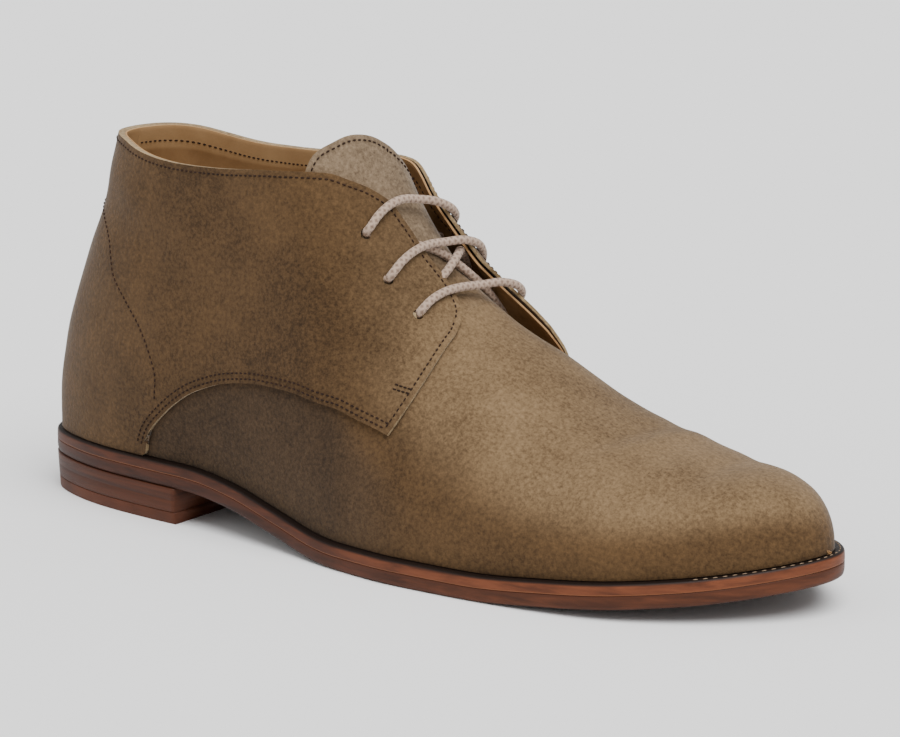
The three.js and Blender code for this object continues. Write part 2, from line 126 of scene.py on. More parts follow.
# %% Outline and underside of the sole
# A row: share of the length, half width on the outer side and on the inner side.
outline_rows = [
    (0, 0.015, -0.015), (0.006, 0.116, 0.100), (0.025, 0.190, 0.190), (0.06, 0.250, 0.262),
    (0.12, 0.306, 0.310), (0.20, 0.338, 0.312), (0.30, 0.359, 0.288), (0.40, 0.405, 0.290),
    (0.50, 0.467, 0.365), (0.58, 0.495, 0.432), (0.66, 0.492, 0.494), (0.74, 0.475, 0.503),
    (0.82, 0.432, 0.455), (0.89, 0.335, 0.388), (0.95, 0.207, 0.268), (0.985, 0.096, 0.152),
    (1, -0.034, 0.034),
]
outline_turns = [turn_of(row[0]) for row in outline_rows]
half_width = {
    -1: curve(outline_turns, [row[1] for row in outline_rows]),
    1: curve(outline_turns, [row[2] for row in outline_rows]),
}
shank = curve([0, 0.12, 0.25, 0.33, 0.40, 0.46, 0.50, 1], [1.01, 1, 0.975, 0.75, 0.36, 0.06, 0, 0])
spring = curve([0, 0.66, 0.76, 0.84, 0.92, 1], [0, 0, 0.17, 0.36, 0.61, 1])


def underside(x):
    return heel_height * shank(x / sole_length) + toe_spring * spring(x / sole_length)


def welt_top(x):
    return underside(x) + outsole_thickness + seat_gap + welt_thickness


def outline_point(turn, side, inset):
    def at(u):
        return Vector((sole_length * share_of(u), side * ball_width * half_width[side](u)))

    step = 0.002
    ahead, behind = at(min(turn + step, 1)), at(max(turn - step, 0))
    inward = Vector((ahead.y - behind.y, behind.x - ahead.x)).normalized() * side
    return at(turn) + inward * inset


widest = {side: max(half_width[side](k / 200) for k in range(201)) for side in (-1, 1)}
boot_middle = Vector((sole_length / 2, ball_width * (widest[1] - widest[-1]) / 2, 0))
print("middle of the boot in mm:", [round(c, 2) for c in boot_middle])

# %% Sections of the upper
section_columns = ("share", "leg", "foot", "ridge", "side", "top", "swell")
section_rows = [
    (0, 1, 0, 0.005, 2, 2, 0), (0.10, 1, 0, 0.005, 2, 2, 0.35), (0.22, 1, 0, 0.005, 2, 2, 1),
    (0.34, 0.933, 0, 0.005, 2, 2, 0.9), (0.42, 0.758, 0, 0.015, 2, 2, 0.7),
    (0.47, 0, 1, 0.030, 1.9, 2, 0.5), (0.52, 0, 0.787, 0.058, 1.8, 2, 0.5),
    (0.57, 0, 0.659, 0.082, 1.8, 2, 0.5), (0.64, 0, 0.545, 0.097, 1.9, 2, 0.5),
    (0.72, 0, 0.408, 0.092, 2, 2.1, 0.7), (0.80, 0, 0.324, 0.077, 2.1, 2.2, 0.7),
    (0.87, 0, 0.265, 0.063, 2.2, 2.3, 0.5), (0.92, 0, 0.238, 0.048, 2.2, 2.3, 0.25),
    (0.96, 0, 0.195, 0.037, 2.2, 2.2, 0.1), (1, 0, 0, 0.024, 2, 2, 0),
]
section_turns = [turn_of(row[0]) for row in section_rows]
crown_height = curve(section_turns, [leg_height * row[1] + instep_height * row[2] for row in section_rows])
section = {
    name: curve(section_turns, [row[section_columns.index(name)] for row in section_rows])
    for name in ("ridge", "side", "top", "swell")
}
lean_at = curve(
    [0, 0.155, 0.25, 0.37, 0.456, 0.553, 0.64, 0.757, 0.854, 1, 1.553],
    [0, 0.02, 0.08, 0.19, 0.31, 0.444, 0.574, 0.777, 0.888, 1.018, 1.4],
)
lean_end = 0.47
lean_power = 1.5
swell_height = 60
swell_fade_width = 20


@functools.lru_cache(maxsize=None)
def last_point(turn, round_):
    side = -1 if round_ < 0 else 1
    share = share_of(turn)
    foot = outline_point(turn, side, welt_margin)
    angle = (1 - abs(round_)) * math.pi / 2
    up = max(math.sin(angle), 0) ** (2 / section["side"](turn))
    out = max(math.cos(angle), 0) ** (2 / section["top"](turn))
    above = crown_height(turn) * up
    middle = welt_margin + (sole_length - 2 * welt_margin) * share
    lean = leg_lean * lean_at(above / lean_height) * max(1 - share / lean_end, 0) ** lean_power
    fade = min(out * 3, 1) * min(abs(foot.y) / swell_fade_width, 1)
    swell = side_swell * section["swell"](turn) * math.sin(math.pi * min(above / swell_height, 1)) * fade
    return Vector((
        middle + (foot.x - middle) * out + lean,
        foot.y * out + ball_width * section["ridge"](turn) * (1 - out) + side * swell,
        welt_top(foot.x) + seat_gap + above,
    ))


def last_normal(turn, round_):
    step = 0.0005
    short_of_end = step / 9
    ahead = last_point(min(turn + step, 1 - short_of_end), round_)
    along = ahead - last_point(max(turn - step, short_of_end), round_)
    across = last_point(turn, min(round_ + step, 1)) - last_point(turn, max(round_ - step, -1))
    return along.cross(across).normalized()


def on_last(turn, round_, lift=0.0):
    return last_point(turn, round_) + last_normal(turn, round_) * lift


def placed(point):
    return (point - boot_middle) * MM


# %% [markdown]
# ## Pattern lines
# A shoemaker draws the seams on the last. These rows are the same lines as in the solids: the
# collar is seen from the side, the front edges and the seams of the quarters from half above,
# and the tongue along the slope of the instep. For each row the point of the last that lies
# behind it in that view is searched, with a coarse look round and then a few Newton steps.

# %% Views of the pattern and the search on the last
half_tilt = math.pi / 4
throat_top = Vector((143, 0, 115))
throat_angle = math.radians(50.7)
facing_length = 50


def tilted_view(side):
    up = Vector((0, -side * math.sin(half_tilt), math.cos(half_tilt)))
    return lambda point: Vector((point.x, point.dot(up)))


def slope_view(point):
    down = Vector((math.cos(throat_angle), 0, -math.sin(throat_angle)))
    return Vector((point.y, (point - throat_top).dot(down)))


coarse_steps = 48
coarse_points = [
    (i / coarse_steps, -1 + 2 * j / coarse_steps, last_point(i / coarse_steps, -1 + 2 * j / coarse_steps))
    for i in range(1, coarse_steps) for j in range(coarse_steps + 1)
]


def find_on_last(view, target, rounds, turns, lift):
    turn, round_, _ = min(
        (row for row in coarse_points
         if rounds[0] <= row[1] <= rounds[1] and turns[0] < row[0] < turns[1]),
        key=lambda row: (view(row[2]) - target).length_squared,
    )
    step = 0.001
    for _ in range(8):
        here = view(on_last(turn, round_, lift))
        by_turn = (view(on_last(turn + step, round_, lift)) - here) / step
        by_round = (view(on_last(turn, round_ + step, lift)) - here) / step
        error = target - here
        size = by_turn.x * by_round.y - by_turn.y * by_round.x
        turn += (error.x * by_round.y - error.y * by_round.x) / size
        round_ += (by_turn.x * error.y - by_turn.y * error.x) / size
        turn = min(max(turn, turns[0]), turns[1])
        round_ = min(max(round_, rounds[0]), rounds[1])
    return turn, round_


# %% Rows of the pattern lines
# A row of facing or seam: share of the length, of the ball width and of the collar's height.
facing_rows = {
    -1: [
        (0.472, -0.098, 0.931), (0.487, -0.072, 0.874), (0.511, -0.047, 0.785), (0.531, -0.028, 0.726),
        (0.549, -0.034, 0.679), (0.559, -0.051, 0.654), (0.566, -0.083, 0.632), (0.570, -0.135, 0.603),
        (0.570, -0.203, 0.564), (0.569, -0.261, 0.526), (0.564, -0.333, 0.464), (0.554, -0.390, 0.399),
        (0.549, -0.406, 0.374),
    ],
    1: [
        (0.464, 0.126, 0.931), (0.482, 0.121, 0.874), (0.502, 0.118, 0.815), (0.530, 0.145, 0.745),
        (0.551, 0.189, 0.668), (0.574, 0.227, 0.607), (0.597, 0.261, 0.559), (0.610, 0.300, 0.510),
        (0.613, 0.348, 0.453), (0.607, 0.397, 0.405), (0.597, 0.426, 0.364), (0.592, 0.435, 0.347),
    ],
}
seam_rows = {
    -1: [
        (0.549, -0.406, 0.374), (0.541, -0.399, 0.375), (0.490, -0.401, 0.412), (0.436, -0.400, 0.436),
        (0.361, -0.380, 0.444), (0.298, -0.366, 0.415), (0.259, -0.360, 0.372), (0.226, -0.352, 0.309),
        (0.202, -0.340, 0.246), (0.190, -0.329, 0.180),
    ],
    1: [
        (0.592, 0.435, 0.347), (0.582, 0.433, 0.348), (0.525, 0.411, 0.385), (0.475, 0.387, 0.417),
        (0.410, 0.353, 0.441), (0.361, 0.329, 0.445), (0.298, 0.309, 0.417), (0.259, 0.309, 0.372),
        (0.226, 0.309, 0.308), (0.202, 0.309, 0.246), (0.190, 0.305, 0.180),
    ],
}
seam_foot_share = 0.184
collar_line = curve(
    [-0.05, 0.06, 0.134, 0.163, 0.245, 0.30, 0.357, 0.41, 0.433, 0.452, 0.466, 0.475],
    [1.045, 1.04, 1.022, 1.005, 0.985, 0.988, 0.998, 1.002, 0.995, 0.972, 0.935, 0.89],
)
# A row: share of the facing's length down the slope, share of the ball width.
tongue_rows = [
    (0.88, -0.24), (0.4, -0.24), (0, -0.24), (-0.36, -0.25), (-0.44, -0.225), (-0.455, -0.17),
    (-0.44, -0.10), (-0.39, -0.035), (-0.31, 0.025), (-0.20, 0.085), (-0.04, 0.15), (0.2, 0.215),
    (0.5, 0.235), (0.88, 0.235),
]


def collar_round(turn, side):
    low, high = 0.0, 1.0
    for _ in range(26):
        mid = (low + high) / 2
        point = on_last(turn, side * mid, quarter_wall)
        above = point.z > collar_height * collar_line(point.x / sole_length)
        low, high = (mid, high) if above else (low, mid)
    return side * high


def pattern_row(row, side):
    along, out, height = row
    target = tilted_view(side)(Vector((along * sole_length, out * ball_width, height * collar_height)))
    rounds = (-1, -0.01) if side < 0 else (0.01, 1)
    return find_on_last(tilted_view(side), target, rounds, (0.2, 0.75), quarter_wall)


# %% A pattern line: a smooth path on the last with an even pace
class Line:
    def __init__(self, stops):
        points = [last_point(*stop) for stop in stops]
        knots = [0.0]
        for a, b in zip(points, points[1:]):
            knots.append(knots[-1] + (b - a).length)
        self.length = knots[-1]
        self.turn = curve(knots, [stop[0] for stop in stops])
        self.round = curve(knots, [stop[1] for stop in stops])

    def at(self, f):
        return Vector((self.turn(f * self.length), self.round(f * self.length)))


# The rows of the facing where the throat and the loose flap end.
throat_foot = 6
flap_foot = {-1: 6, 1: 9}
collar_rows = 28


def quarter_lines(side):
    facing = [pattern_row(row, side) for row in facing_rows[side]]
    seam = [pattern_row(row, side) for row in reversed(seam_rows[side])]
    feather = [(turn_of(seam_foot_share) * k / 8, side * 1.0) for k in range(9)]
    collar_end = facing[0][0] - 0.006
    collar_turns = [collar_end * k / collar_rows for k in range(collar_rows + 1)]
    collar = [(turn, collar_round(turn, side)) for turn in collar_turns]
    back = [(0.0, side + (collar[0][1] - side) * k / 8) for k in range(9)]
    throat = facing[:throat_foot + 1]
    return {
        "bottom": Line(feather + seam), "top": Line(collar + throat), "back": Line(back),
        "front": Line(facing[:throat_foot - 1:-1]),
        "seam": Line(seam), "flap": Line(facing[:flap_foot[side] + 1]),
    }


pattern = {side: quarter_lines(side) for side in (-1, 1)}
for side, name in ((-1, "outer"), (1, "inner")):
    sizes = {key: round(line.length, 1) for key, line in pattern[side].items()}
    print(name, "quarter, lengths of its edges in mm:", sizes)


# %% A patch between four lines
def patch_between(bottom, top, back, front):
    corners = [bottom.at(0), bottom.at(1), top.at(0), top.at(1)]

    def at(a, b):
        mixed = (bottom.at(a) * (1 - b) + top.at(a) * b + back.at(b) * (1 - a) + front.at(b) * a)
        flat = (corners[0] * (1 - a) * (1 - b) + corners[1] * a * (1 - b)
                + corners[2] * (1 - a) * b + corners[3] * a * b)
        return mixed - flat

    return at


quarter_patch = {
    side: patch_between(*(pattern[side][key] for key in ("bottom", "top", "back", "front")))
    for side in (-1, 1)
}

# %% [markdown]
# ## Soft troughs and ridges
# Suede over a hard last is smooth, but the photo shows a few soft marks: a shallow crease where
# the foot bends, the step at the back edge of the toe stiffener, and hollows at the ankle. Each
# is a row here, with a path on the last, a width and a height, and it fades out to its sides.

# %% Creases
# A row: its path as shares of the length and rounds, its width and its height.
crease_rows = [
    ([(0.735, -0.42), (0.765, -0.18), (0.775, 0.10), (0.765, 0.34)], 5.0, -0.9),
    ([(0.755, -0.36), (0.79, -0.10), (0.80, 0.16), (0.79, 0.36)], 5.0, 0.7),
    ([(0.83, -0.62), (0.865, -0.28), (0.875, 0.05), (0.865, 0.40)], 4.5, -0.55),
    ([(0.90, -0.55), (0.92, -0.2), (0.925, 0.15), (0.91, 0.5)], 8.0, 0.35),
    ([(0.03, -0.69), (0.10, -0.72), (0.20, -0.74)], 8.0, -0.9),
    ([(0.01, -0.64), (0.06, -0.66), (0.14, -0.68)], 7.0, 0.6),
    ([(0.03, 0.69), (0.10, 0.72), (0.20, 0.74)], 8.0, -0.8),
    ([(0.30, -0.70), (0.36, -0.64), (0.40, -0.56)], 12.0, -0.7),
    ([(0.40, -0.86), (0.48, -0.80), (0.56, -0.78)], 12.0, -0.6),
    ([(0.30, 0.72), (0.38, 0.66), (0.43, 0.56)], 12.0, -0.8),
    ([(0.60, -0.80), (0.66, -0.70), (0.70, -0.58)], 10.0, -0.6),
]
creases = [
    ([last_point(turn_of(share), round_) for share, round_ in path], width, height)
    for path, width, height in crease_rows
]


def distance_to_path(point, path):
    best = (1e9, 0.0)
    for i, (a, b) in enumerate(zip(path, path[1:])):
        along = b - a
        f = min(max((point - a).dot(along) / along.length_squared, 0), 1)
        best = min(best, ((point - a - along * f).length, (i + f) / (len(path) - 1)))
    return best


crease_reach = 75
# A wave of the hide's unevenness: its height and its length.
hide_waves = [(0.25, 24), (0.10, 9)]


def relief(point):
    height = sum(size * noise.noise(point / length) for size, length in hide_waves)
    for path, width, size in creases:
        if (point - path[len(path) // 2]).length > crease_reach:
            continue
        distance, f = distance_to_path(point, path)
        fade = math.sin(math.pi * min(max(0.12 + 0.76 * f, 0), 1))
        height += size * fade * math.exp(-(distance / width) ** 2)
    return height


# %% [markdown]
# ## Panels
# A panel starts as Blender's own flat grid. Each vertex reads its place on the grid as a place
# on the pattern and moves to the last, plus a lift for the layers below it. A Solidify modifier
# gives the hide its thickness and the rim its own finish, because a cut edge of suede shows
# the paler middle of the hide, and a Bevel takes the sharpness off that edge. A third finish,
# where a panel has one, goes on its inner side. A vertex attribute says which way a place
# faces, and from it light and shade are painted into the suede: paler where it faces up, as if
# lit from above, and darker low down at the waist, as shade under the bulge of the ankle.

# %% A grid laid on the last
def smooth_step(x, low, high):
    f = min(max((x - low) / (high - low), 0), 1)
    return f * f * (3 - 2 * f)


# Painted light of a place: 0.3 on the sides, lower where shade is painted at the waist, and up to 1 where
# the place faces up and is painted as lit from above.
def painted_light_at(turn, round_, normal, waist_shade):
    under = waist_shade * (1 - smooth_step(share_of(turn), 0.44, 0.66)) * smooth_step(abs(round_), 0.55, 0.8)
    return 0.3 - 0.3 * under + 0.7 * smooth_step(normal.z, 0.15, 0.95)


# At the feather, where the upper meets the welt, relief fades out and the lift turns level.
feather_fade = 0.12
feather_level = 0.04
weld = 0.02


def laid_grid(patch, columns, rows, lift, side=-1, keep=None, waist_shade=0):
    bm = bmesh.new()
    bm.loops.layers.uv.new("pattern")
    painted_light = bm.verts.layers.float.new("painted_light")
    bmesh.ops.create_grid(bm, x_segments=columns, y_segments=rows, size=0.5, calc_uvs=True)
    if keep:
        outside = []
        for face in bm.faces:
            middle = face.calc_center_median()
            if not keep(middle.x + 0.5, middle.y + 0.5):
                outside.append(face)
        bmesh.ops.delete(bm, geom=outside, context="FACES")
    for vertex in bm.verts:
        a, b = vertex.co.x + 0.5, vertex.co.y + 0.5
        turn, round_ = patch(a, b)
        turn, round_ = min(max(turn, 0), 1), min(max(round_, -1), 1)
        point = last_point(turn, round_)
        normal = last_normal(turn, round_)
        # Stores the painted light and shade of this place for the suede's colour.
        vertex[painted_light] = painted_light_at(turn, round_, normal, waist_shade)
        normal.z *= min((1 - abs(round_)) / feather_level, 1)
        normal.normalize()
        fade = min((1 - abs(round_)) / feather_fade, 1)
        vertex.co = placed(point + normal * (lift(a, b, turn, round_) + relief(point) * fade))
    if side > 0:
        bmesh.ops.reverse_faces(bm, faces=bm.faces)
    bmesh.ops.remove_doubles(bm, verts=bm.verts, dist=weld * MM)
    return bm


def new_mesh(name, bm, finishes=()):
    mesh = bpy.data.meshes.new(name)
    bm.to_mesh(mesh)
    bm.free()
    for finish in finishes:
        mesh.materials.append(finish)
    return mesh


def new_object(name, data):
    made = bpy.data.objects.new(name, data)
    bpy.context.scene.collection.objects.link(made)
    return made


def new_piece(name, bm, finishes, replaces=()):
    bm.normal_update()
    mesh = new_mesh(name, bm, finishes)
    mesh.polygons.foreach_set("use_smooth", [True] * len(mesh.polygons))
    piece = new_object(name, mesh)
    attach(piece, "root")
    if replaces:
        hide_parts(*replaces)
    print(f"{name}: {len(mesh.vertices)} vertices, {len(mesh.polygons)} faces")
    return piece


def give_wall(piece, thickness, rounding, thin=None):
    wall = piece.modifiers.new("wall", "SOLIDIFY")
    wall.thickness = thickness * MM
    wall.offset = -1
    wall.material_offset_rim = 1
    if len(piece.data.materials) > 2:
        wall.material_offset = 2
    if thin:
        group = piece.vertex_groups.new(name="thickness")
        for index, weight in enumerate(thin):
            group.add([index], weight, "REPLACE")
        wall.vertex_group = group.name
    edge = piece.modifiers.new("soft edge", "BEVEL")
    edge.width = rounding * MM
    edge.segments = 2
    edge.limit_method = "ANGLE"
    edge.angle_limit = math.radians(55)


# %% [markdown]
# ## Shader maths
# Node trees are hard to read, so a small class wraps a socket and lets Python write the sums.

# %% Sums on sockets
class Signal:
    def __init__(self, finish, socket):
        self.finish, self.socket = finish, socket

    def math(self, operation, other, swap=False):
        first, second = (other, self) if swap else (self, other)
        return self.finish.node("ShaderNodeMath", {"operation": operation}, {0: first, 1: second})

    def __add__(self, other):
        return self.math("ADD", other)

    def __radd__(self, other):
        return self.math("ADD", other, True)

    def __sub__(self, other):
        return self.math("SUBTRACT", other)

    def __rsub__(self, other):
        return self.math("SUBTRACT", other, True)

    def __mul__(self, other):
        return self.math("MULTIPLY", other)

    def __rmul__(self, other):
        return self.math("MULTIPLY", other, True)

    def between(self, low, high):
        return self.finish.node(
            "ShaderNodeMapRange", {"interpolation_type": "SMOOTHSTEP", "clamp": True},
            {"Value": self, "From Min": low, "From Max": high},
        )


class Finish:
    def __init__(self, name, **fixed):
        self.material = bpy.data.materials.new(name)
        self.material.use_nodes = True
        self.tree = self.material.node_tree
        self.shader = self.tree.nodes["Principled BSDF"]
        for socket, value in fixed.items():
            self.shader.inputs[socket.replace("_", " ")].default_value = value

    def node(self, kind, settings=None, inputs=None, output=0):
        made = self.tree.nodes.new(kind)
        for key, value in (settings or {}).items():
            setattr(made, key, value)
        for key, value in (inputs or {}).items():
            self.feed(made.inputs[key], value)
        return Signal(self, made.outputs[output])

    def feed(self, socket, value):
        if isinstance(value, Signal):
            self.tree.links.new(value.socket, socket)
        else:
            socket.default_value = value

    def mix(self, factor, first, second):
        made = self.tree.nodes.new("ShaderNodeMix")
        made.data_type, made.clamp_factor = "RGBA", True
        sockets = [s for s in made.inputs if s.enabled]
        for socket, value in zip(sockets, (factor, first, second)):
            self.feed(socket, value)
        return Signal(self, next(s for s in made.outputs if s.enabled))

    def attribute(self, name):
        return self.node("ShaderNodeAttribute", {"attribute_name": name}, output="Fac")

    def axis(self, place, index):
        return self.node("ShaderNodeSeparateXYZ", {}, {0: place}, index)

    def place(self, stretch=(1, 1, 1), source="Object"):
        spot = self.node("ShaderNodeTexCoord", output=source)
        return self.node("ShaderNodeVectorMath", {"operation": "MULTIPLY"}, {0: spot, 1: stretch})

    def noise(self, place, scale, detail=3, roughness=0.5, distortion=0.0):
        return self.node("ShaderNodeTexNoise", {}, {
            "Vector": place, "Scale": scale, "Detail": detail, "Roughness": roughness,
            "Distortion": distortion,
        })

    def dress(self, colour, roughness, height, distance, strength=0.6):
        bump = self.node("ShaderNodeBump", {}, {
            "Height": height, "Distance": distance, "Strength": strength,
        })
        for socket, value in (("Base Color", colour), ("Roughness", roughness), ("Normal", bump)):
            self.feed(self.shader.inputs[socket], value)
        return self.material


def shade(*colour):
    parts = [c / 255 for c in colour]
    return (*(c / 12.92 if c <= 0.04045 else ((c + 0.055) / 1.055) ** 2.4 for c in parts), 1)


# %% [markdown]
# ## Finishes
# Suede is the brushed flesh side of a hide. Its nap lies this way in one place and that way in
# the next, which makes soft lighter and darker clouds, and close up it is a fine felt of
# fibres. So its colour is two clouds of noise, a wide and a narrow one, under a fine speckle,
# its bump is the felt, it is rough everywhere, and a little sheen lights its edges. Smooth
# leathers get a cloud and a fine grain. The lining has a paler band along the collar, the edges
# of sole and welt have the streaks of packed leather, and the lace has the plait of its cord.

# %% Suede
def suede(name, waist_shade, wall, top, sheen=0.14, like=None):
    finish = Finish(name, Sheen_Weight=sheen, Sheen_Roughness=0.4, Specular_IOR_Level=0.12)
    place = finish.place()
    wide = finish.noise(place, 17, 2, 0.5, 0.4)
    narrow = finish.noise(place, 70, 3, 0.6, 0.3)
    speckle = finish.noise(place, 800, 2, 0.7)
    felt = finish.noise(finish.place((1, 0.35, 1)), 2300, 2, 0.7)
    cloud = wide.between(0.3, 0.7) * 0.3 + narrow.between(0.3, 0.7) * 0.16
    tone = cloud + (speckle - 0.5) * 1.5 + (felt - 0.5) * 0.5 + 0.27
    painted_light = finish.attribute("painted_light")

    # Three copies of the suede, picked by the painted light: a dark one for painted shade at the waist,
    # one for the sides, and a pale one painted as lit from above on top.
    def whole(waist_shade, wall, top):
        side = finish.mix(painted_light.between(0.0, 0.3), *(finish.mix(tone, *pair) for pair in (waist_shade, wall)))
        return finish.mix(painted_light.between(0.3, 0.95), side, finish.mix(tone, *top))

    colour = whole(waist_shade, wall, top)
    if like:
        from_foot = finish.axis(finish.place(source="UV"), 0)
        colour = finish.mix(from_foot.between(0.12, 0.55), whole(*like), colour)
    return finish.dress(colour, 0.84 + 0.12 * speckle, speckle * 0.7 + felt * 0.4, 0.00028, 0.9)


# The brown suede in three tones: painted shade at the waist, the sides, painted light on top.
upper_shaded_and_lit_tones = ((shade(42, 31, 21), shade(80, 62, 44)), (shade(48, 34, 20), shade(94, 71, 46)),
               (shade(74, 56, 36), shade(130, 107, 79)))
upper_suede = suede("upper suede", *upper_shaded_and_lit_tones)
# The tongue's greyer suede in the same three tones, painted shade, sides and painted light; near its foot
# it takes the upper's tones.
tongue_suede = suede(
    "tongue suede",
    (shade(64, 50, 36), shade(124, 106, 84)), (shade(70, 55, 40), shade(134, 115, 93)),
    (shade(80, 65, 48), shade(146, 127, 104)), 0.3, upper_shaded_and_lit_tones)
cut_edge = suede(
    "cut edge of the suede", *[(shade(104, 84, 58), shade(172, 149, 114))] * 3)


# %% Lining, thread, lace and leathers
def smooth_leather(name, dark, light, gloss, grain=1600.0, depth=0.00006, streak=(1, 1, 1)):
    finish = Finish(name, Specular_IOR_Level=0.2)
    place = finish.place(streak)
    cloud = finish.noise(place, 40, 3, 0.6, 0.5)
    fine = finish.noise(place, grain, 3, 0.6)
    colour = finish.mix(cloud.between(0.25, 0.75) * 0.7 + fine * 0.3, dark, light)
    return finish.dress(colour, gloss + 0.2 * fine, fine, depth)


inner_leather = smooth_leather("inner leather", shade(126, 92, 56), shade(162, 124, 84), 0.5)
thread_brown = smooth_leather("brown thread", shade(28, 16, 10), shade(48, 29, 19), 0.7)
thread_pale = smooth_leather("pale thread", shade(120, 98, 78), shade(168, 146, 122), 0.7)
heel_layer = smooth_leather("lowest heel layer", shade(54, 28, 17), shade(92, 50, 31), 0.45)
heel_leather = smooth_leather(
    "heel stack", shade(40, 19, 11), shade(82, 43, 24), 0.4, 700.0, 0.00008, (0.5, 0.5, 12))


def banded_lining():
    finish = Finish("lining leather", Specular_IOR_Level=0.35)
    cloud = finish.noise(finish.place(), 45, 3, 0.6, 0.5)
    grain = finish.noise(finish.place(), 1500, 2, 0.6)
    up = finish.axis(finish.place(source="UV"), 1)
    tone = cloud.between(0.25, 0.75) * 0.7 + grain * 0.3
    body = finish.mix(tone, shade(122, 86, 50), shade(164, 126, 84))
    band = finish.mix(tone, shade(150, 112, 70), shade(186, 148, 104))
    return finish.dress(
        finish.mix(up.between(0.915, 0.93), body, band), 0.5 + 0.2 * grain, grain, 0.00006)


def edge_leather(name, back, front, rim, line):
    finish = Finish(name, Specular_IOR_Level=0.18)
    streaks = finish.noise(finish.place((1, 1, 7)), 60, 3, 0.6, 0.3)
    fine = finish.noise(finish.place((1, 1, 4)), 900, 3, 0.6)
    forward = finish.axis(finish.place(), 0)
    up = finish.attribute("up")
    tone = streaks.between(0.3, 0.7) * 0.7 + fine * 0.3
    # Painted shade: the rear half of the edge, with the waist under the arch, is darker than the front.
    body = finish.mix(forward.between(-0.05, 0.06), finish.mix(tone, *back), finish.mix(tone, *front))
    body = finish.mix(up.between(0.14, 0.04) * 0.7, body, line)
    return finish.dress(
        finish.mix(up.between(0.72, 0.95), body, rim), 0.34 + 0.22 * fine + 0.1 * streaks, fine, 0.00008)


lining_leather = banded_lining()
sole_leather = edge_leather(
    "edge of the outsole", (shade(38, 20, 13), shade(70, 37, 24)), (shade(52, 28, 17), shade(94, 52, 32)),
    shade(70, 38, 24), shade(44, 24, 16))
# The welt's top face is near black: the dark dye of its edge, and painted shade of the crease under the
# upper.
welt_leather = edge_leather(
    "edge of the welt", (shade(46, 24, 15), shade(84, 45, 28)), (shade(70, 37, 22), shade(118, 66, 41)),
    shade(24, 15, 11), shade(132, 82, 52))


def lace_cord():
    finish = Finish("lace cord", Sheen_Weight=0.2, Specular_IOR_Level=0.2)
    braid = finish.place(source="UV")
    along, across = finish.axis(braid, 0), finish.axis(braid, 1) * 3.0
    left = ((along + across) * (2 * math.pi)).math("SINE", 0)
    right = ((along - across) * (2 * math.pi)).math("SINE", 0)
    weave = left.math("MAXIMUM", right)
    fuzz = finish.noise(finish.place(), 1500, 3, 0.6)
    # Painted shade: the colour is darker in the grooves of the plait, between the strands; the fuzz is the
    # cord's own mottling.
    tone = weave.between(-1.0, 1.0) * 0.5 + fuzz * 0.5
    colour = finish.mix(tone, shade(98, 76, 62), shade(190, 165, 146))
    return finish.dress(colour, 0.75 + 0.15 * fuzz, weave * 0.6 + fuzz * 0.5, 0.0002, 0.8)


cord_finish = lace_cord()

# %% [markdown]
# ## Vamp
# The vamp is one piece of suede over toe, instep and both sides of the waist, where it runs on
# under the quarters as two wings. The grid runs from the heel breast to the toe. Behind the foot
# of the tongue its middle rows are left out, and the rows of the wings are drawn together, so
# that they follow the seams with some spare width.

# %% Vamp
tongue_foot_share = 0.5605
foot_turn = turn_of(tongue_foot_share)
wing_start_share = 0.165
wing_at_foot = 0.45
wing_share = curve([wing_start_share, 0.22, 0.293, 0.355, 0.436, 0.49, tongue_foot_share],
                   [0.90, 0.86, 0.81, 0.76, 0.68, 0.60, wing_at_foot])
vamp_rows = 80
vamp_columns = 128
foot_column = 56


def vamp_patch(a, b):
    column = a * vamp_columns
    start = turn_of(wing_start_share)
    if column < foot_column:
        turn = start + (foot_turn - start) * column / foot_column
    else:
        turn = foot_turn + (1 - foot_turn) * (column - foot_column) / (vamp_columns - foot_column)
    round_ = -1 + 2 * b
    if column < foot_column and abs(round_) > wing_at_foot - 0.001:
        narrower = (1 - wing_share(share_of(turn))) / (1 - wing_at_foot)
        round_ = math.copysign(1 - (1 - abs(round_)) * narrower, round_)
    return turn, round_


def vamp_keep(a, b):
    return a * vamp_columns > foot_column or abs(-1 + 2 * b) > wing_at_foot


# The last 1 paints the shade at the vamp's waist.
vamp = new_piece(
    "vamp", laid_grid(vamp_patch, vamp_columns, vamp_rows, lambda a, b, t, r: 0, -1, vamp_keep, 1),
    [upper_suede, cut_edge, inner_leather], ["upper"],
)
give_wall(vamp, thickness=0.75, rounding=0.15)

# %% [markdown]
# ## Tongue
# The tongue goes on where the vamp stops and rises over the collar. Its edge is the outline in
# the table above: high on the outer side, and falling to the inner side. It is one patch whose
# front line is the whole rounded top, because a corner in a smooth curve would fold the grid.

# %% Tongue
def tongue_place(row):
    down, out = row
    target = Vector((out * ball_width, down * facing_length))
    return find_on_last(slope_view, target, (-0.75, 0.75), (0.3, 0.6), 0)


tongue_stops = [tongue_place(row) for row in tongue_rows]
left_corner, right_corner = 3, 11
left_stops = [(foot_turn, tongue_stops[0][1]), *tongue_stops[1:left_corner + 1]]
right_stops = [(foot_turn, tongue_stops[-1][1]), *reversed(tongue_stops[right_corner:-1])]
foot_stops = [
    (foot_turn, left_stops[0][1] + (right_stops[0][1] - left_stops[0][1]) * k / 4) for k in range(5)
]
tongue_lines = {
    "bottom": Line(left_stops), "top": Line(right_stops),
    "back": Line(foot_stops), "front": Line(tongue_stops[left_corner:right_corner + 1]),
}
tongue_patch = patch_between(*(tongue_lines[key] for key in ("bottom", "top", "back", "front")))
tongue_dip = 0.1
tongue_bm = laid_grid(
    tongue_patch, 56, 40, lambda a, b, t, r: -tongue_dip * smooth_step(a, 0, 0.3), 1)
tongue = new_piece(
    "suede_tongue", tongue_bm, [tongue_suede, cut_edge, inner_leather], ["tongue"])
